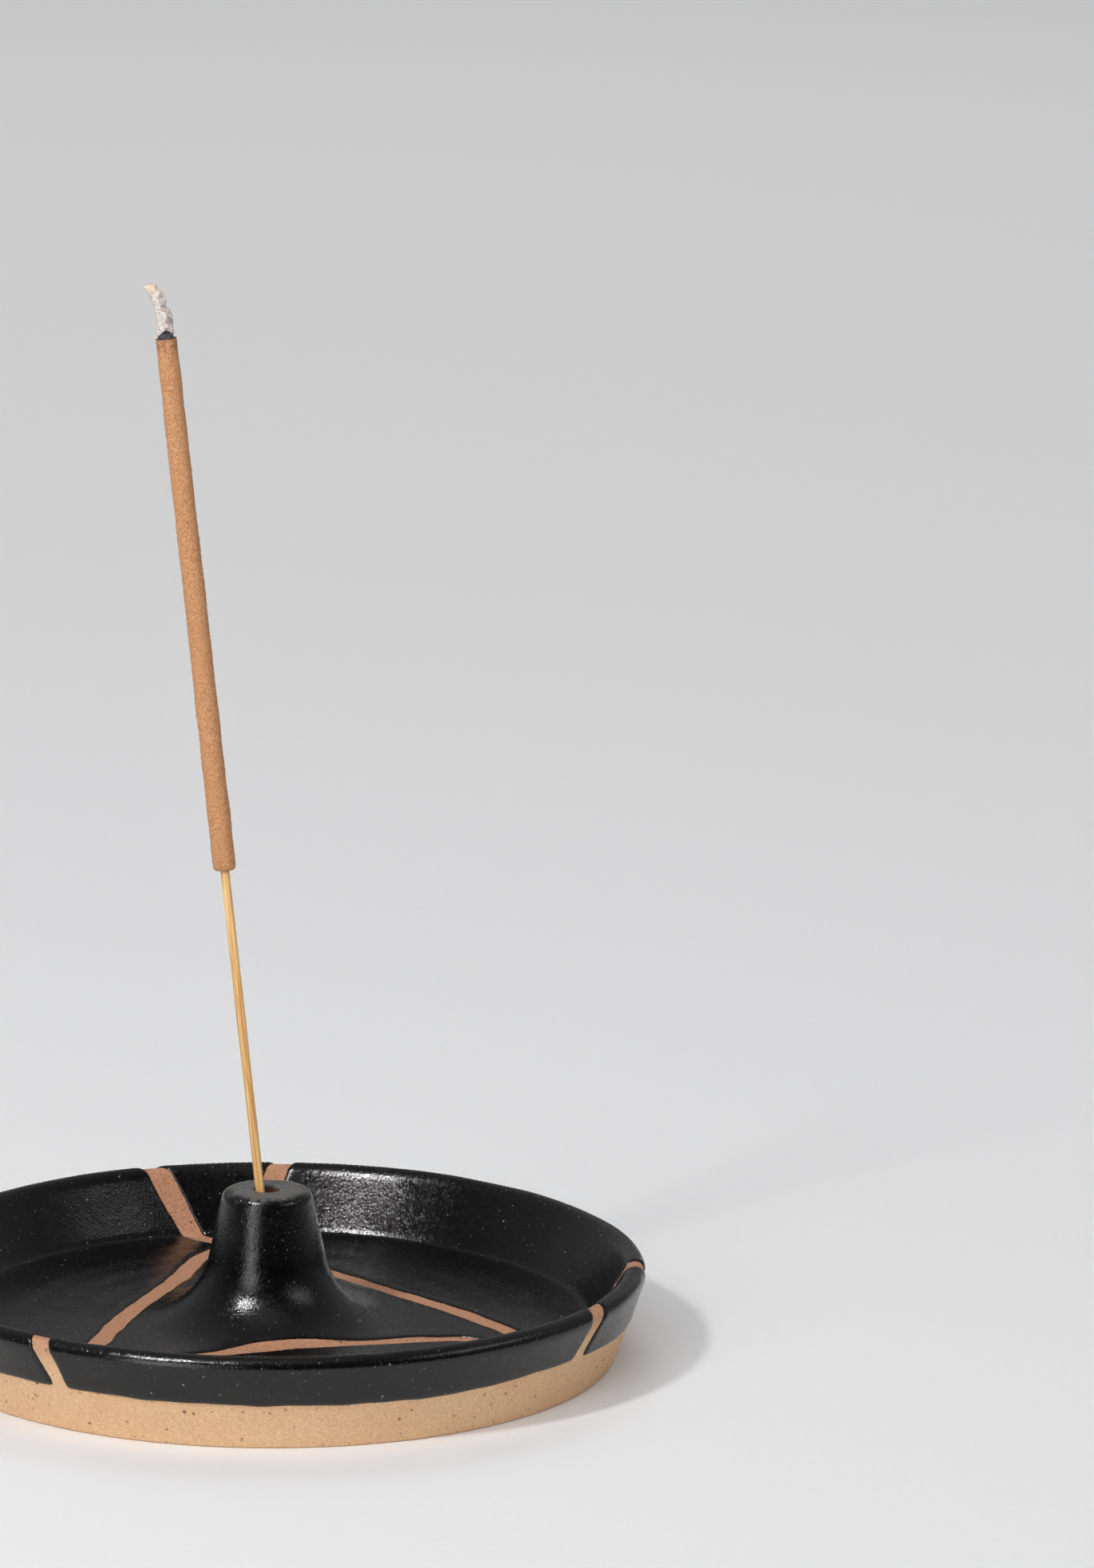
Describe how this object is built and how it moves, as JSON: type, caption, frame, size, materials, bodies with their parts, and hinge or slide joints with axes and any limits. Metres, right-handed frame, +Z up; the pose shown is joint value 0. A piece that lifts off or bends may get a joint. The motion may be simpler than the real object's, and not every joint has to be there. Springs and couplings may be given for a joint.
{
  "type": "incense burner",
  "caption": "Low round stoneware dish with black glaze and bare clay lines, and an upright post whose hole holds a leaning, part-burnt incense stick.",
  "frame": {"origin": "on the table, under the dish's axis", "axes": "+Z up; the stick leans towards -X; +Y away from the side that shows the stick's lean in profile"},
  "size_m": [0.114, 0.114, 0.1622],
  "materials": {
    "clay": "unglazed buff stoneware, fine sandy grain with sparse iron specks",
    "glaze": "satin-gloss black glaze with a fine orange-peel surface",
    "bamboo": "split bamboo, lengthwise streaks",
    "incense": "dry rolled incense paste, grainy and matte",
    "char": "matte charcoal",
    "ash": "matte, powdery, pitted"
  },
  "bodies": {
    "burner": {"clay_body": "clay", "glaze_center": "glaze", "glaze_back_wedge": "glaze", "glaze_rear_right": "glaze", "glaze_right_wedge": "glaze", "glaze_front": "glaze", "glaze_left_wedge": "glaze", "glaze_rear_left": "glaze"},
    "incense_stick": {"bamboo_core": "bamboo", "incense_coat": "incense", "char_cone": "char", "ash_column": "ash"}
  },
  "joints": [
    {"name": "stick_lift", "type": "slide", "parent": "burner", "child": "incense_stick", "axis": [-0.1123, 0, 0.9937], "range_m": [0, 0.03]}
  ]
}
